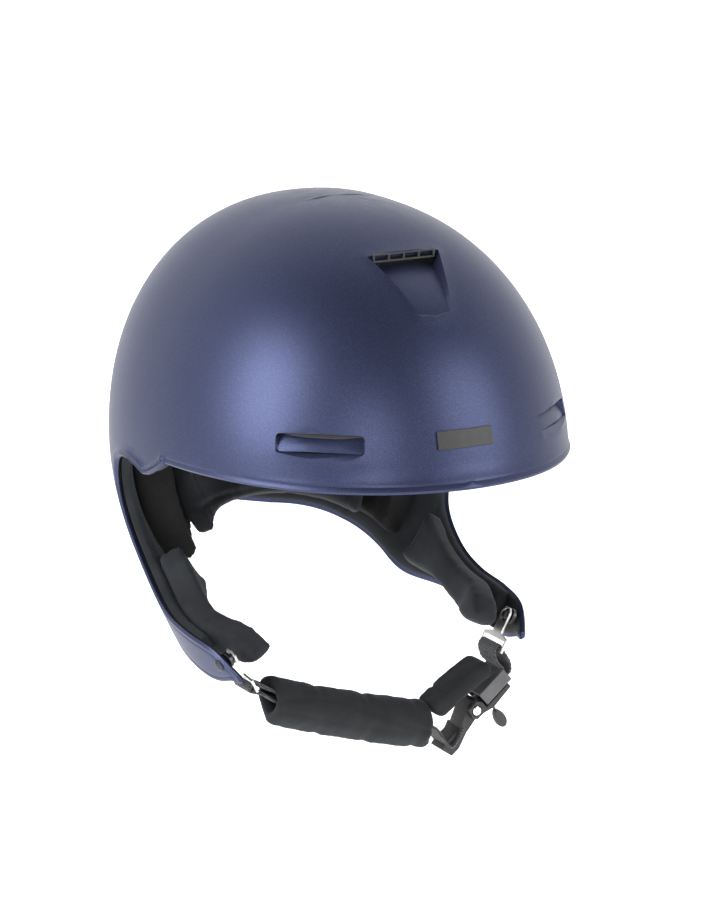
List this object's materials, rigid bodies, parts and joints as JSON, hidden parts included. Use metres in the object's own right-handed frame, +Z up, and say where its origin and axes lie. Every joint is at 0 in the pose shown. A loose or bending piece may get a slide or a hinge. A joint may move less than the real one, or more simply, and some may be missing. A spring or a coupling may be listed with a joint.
{
  "type": "water sports helmet",
  "caption": "Water sports helmet with moulded ear flaps, padded liner, top vent scoop, brow slots and a padded chin strap with a pull-tab buckle.",
  "frame": {"origin": "underside of the crown pad, where the top of the wearer's head rests", "axes": "+X towards the wearer's left, -Y forward, +Z up"},
  "size_m": [0.212, 0.2596, 0.2826],
  "materials": {
    "shell_paint": "satin metallic blue-violet paint",
    "pad_fabric": "matte black neoprene-backed fabric",
    "foam": "matte foam",
    "webbing": "black woven webbing",
    "black_plastic": "fine moulded texture",
    "grey_plastic": "fine moulded texture",
    "rubber": "matte",
    "steel": "satin",
    "bright_steel": "polished",
    "dark_metal": "satin",
    "badge": "satin"
  },
  "bodies": {
    "helmet": {"outer_shell": "shell_paint", "impact_liner": "foam", "vent_scoop": "shell_paint", "vent_grille": "black_plastic", "slot_screen_left": "black_plastic", "slot_screen_right": "black_plastic", "front_badge": "badge", "brow_pad": "pad_fabric", "crown_pad": "pad_fabric", "nape_pad": "pad_fabric", "side_pad_left": "pad_fabric", "side_pad_right": "pad_fabric", "ear_pad_left": "pad_fabric", "ear_pad_right": "pad_fabric", "flap_liner_left": "foam", "flap_liner_right": "foam", "strap_rivet_left": "dark_metal", "strap_rivet_right": "dark_metal", "rivet_washer_left": "steel", "rivet_washer_right": "steel"},
    "hanger_right": {"strap_hanger_right": "steel"},
    "hanger_left": {"strap_hanger_left": "steel"},
    "strap_right": {"webbing_right": "webbing", "chin_sleeve": "pad_fabric", "buckle_tongue": "black_plastic", "buckle_magnet": "steel", "buckle_pin": "bright_steel"},
    "lever": {"cam_lever": "grey_plastic"},
    "slider": {"release_slider": "grey_plastic"},
    "pull": {"pull_cord": "webbing", "pull_tab": "rubber"},
    "strap_left": {"webbing_left": "webbing", "buckle_housing": "grey_plastic", "buckle_backing_pad": "pad_fabric"}
  },
  "joints": [
    {"name": "hanger_right_swing", "type": "hinge", "parent": "helmet", "child": "hanger_right", "pos_m": [-0.0797, -0.041, -0.18349], "axis": [1, 0, 0], "range_deg": [-20, 20]},
    {"name": "hanger_left_swing", "type": "hinge", "parent": "helmet", "child": "hanger_left", "pos_m": [0.0797, -0.041, -0.18349], "axis": [1, 0, 0], "range_deg": [-20, 20]},
    {"name": "strap_right_open", "type": "hinge", "parent": "hanger_right", "child": "strap_right", "pos_m": [-0.06944, -0.041, -0.19901], "axis": [0, 1, 0], "range_deg": [0, 70]},
    {"name": "strap_left_open", "type": "hinge", "parent": "hanger_left", "child": "strap_left", "pos_m": [0.06944, -0.041, -0.19901], "axis": [0, 1, 0], "range_deg": [-20, 0]},
    {"name": "cam_lever_turn", "type": "hinge", "parent": "strap_right", "child": "lever", "pos_m": [0.0566, -0.041, -0.2289], "axis": [0, -1, 0], "range_deg": [0, 40]},
    {"name": "release_slide", "type": "slide", "parent": "strap_right", "child": "slider", "axis": [0.6494, 0, -0.7604], "range_m": [0, 0.003], "stiffness_N_per_m": 120},
    {"name": "pull_tab_swing", "type": "hinge", "parent": "slider", "child": "pull", "pos_m": [0.07005, -0.041, -0.22925], "axis": [0, 1, 0], "range_deg": [-30, 30], "stiffness_Nm_per_rad": 0.002}
  ],
  "couplings": [
    {"joint": "hanger_left_swing", "follows": "hanger_right_swing", "ratio": 1},
    {"joint": "strap_left_open", "follows": "strap_right_open", "ratio": -0.25}
  ]
}
